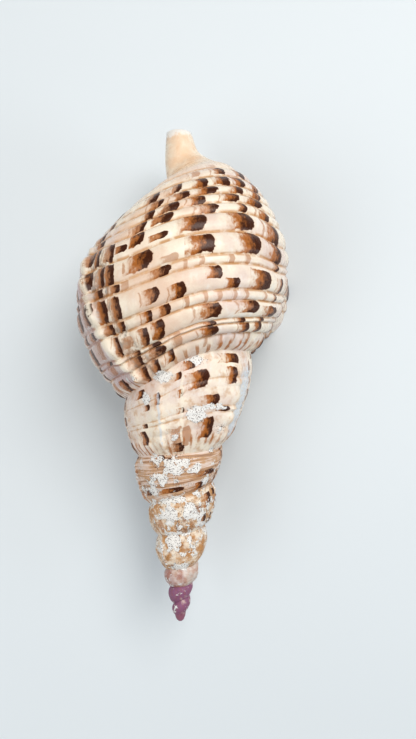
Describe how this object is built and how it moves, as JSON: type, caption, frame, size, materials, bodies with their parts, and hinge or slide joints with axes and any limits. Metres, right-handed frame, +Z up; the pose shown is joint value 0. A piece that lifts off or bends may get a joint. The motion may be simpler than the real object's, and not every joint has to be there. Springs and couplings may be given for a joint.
{
  "type": "triton shell",
  "caption": "Large spiral sea snail shell lying on its opening, with a tapering spire, banded body, flared lip and short canal.",
  "frame": {"origin": "middle of the underside of the bounding box, on the plane on which the shell rests", "axes": "+Y along the coiling axis from the apex towards the canal tip, +X towards the outer lip, +Z up from the resting plane, so the opening faces -Z"},
  "size_m": [0.1266, 0.2778, 0.1036],
  "materials": {
    "shell": "glossy on the last turn, chalky and worn on the spire, cream with dark brown crescent marks on the spiral cords"
  },
  "bodies": {
    "root": {"triton_shell": "shell"}
  },
  "joints": []
}
